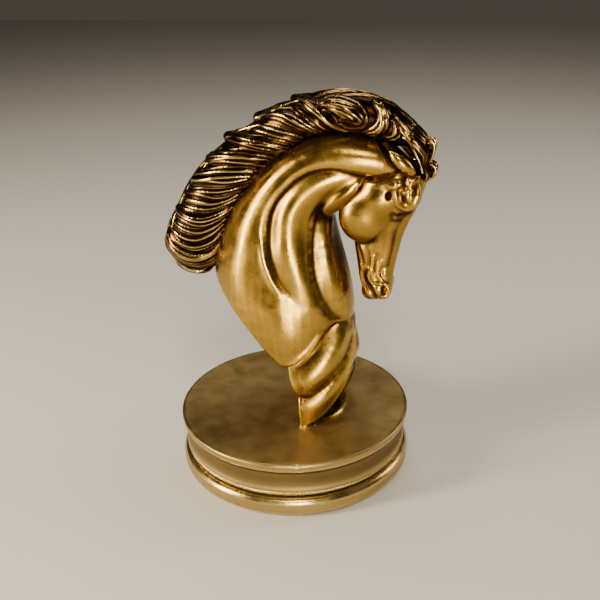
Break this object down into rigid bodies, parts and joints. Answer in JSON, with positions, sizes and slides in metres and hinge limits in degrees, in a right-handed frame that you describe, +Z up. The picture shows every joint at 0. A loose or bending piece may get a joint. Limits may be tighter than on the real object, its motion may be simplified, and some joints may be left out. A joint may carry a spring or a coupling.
{
  "type": "hood ornament",
  "caption": "Arched horse-head bonnet mascot in antiqued brass with a dark locked mane, on a round two-tier moulded base with a felt pad.",
  "frame": {"origin": "centre of the round base, on the underside of the felt pad", "axes": "+X the way the horse faces, +Y to its left, +Z up"},
  "size_m": [0.0923, 0.081, 0.1315],
  "materials": {
    "gold_casting": "satin antiqued brass, darker in the hollows and rubbed bright on the muscle ridges",
    "antique_mane": "brown-black patina between the locks, rubbed back to gold on the ridges of the hair",
    "bronze_base": "dull olive bronze, satin, with bright turned edges",
    "zinc_steel": "zinc plated",
    "felt": "dark green baize"
  },
  "bodies": {
    "root": {"felt_pad": "felt", "base_flange": "bronze_base", "bead_ring": "bronze_base", "base_drum": "bronze_base", "mounting_stud": "zinc_steel", "hex_nut": "zinc_steel", "spring_washer": "zinc_steel", "plain_washer": "zinc_steel", "locating_pin_right": "zinc_steel", "locating_pin_left": "zinc_steel", "chest_casting": "gold_casting", "neck_casting": "gold_casting", "head_casting": "gold_casting", "ear_right": "gold_casting", "ear_left": "gold_casting", "crest_mane": "antique_mane", "forelock": "antique_mane", "mane_dowel_1": "zinc_steel", "mane_dowel_2": "zinc_steel", "mane_dowel_3": "zinc_steel", "head_dowel": "zinc_steel", "forelock_dowel": "zinc_steel"}
  },
  "joints": []
}
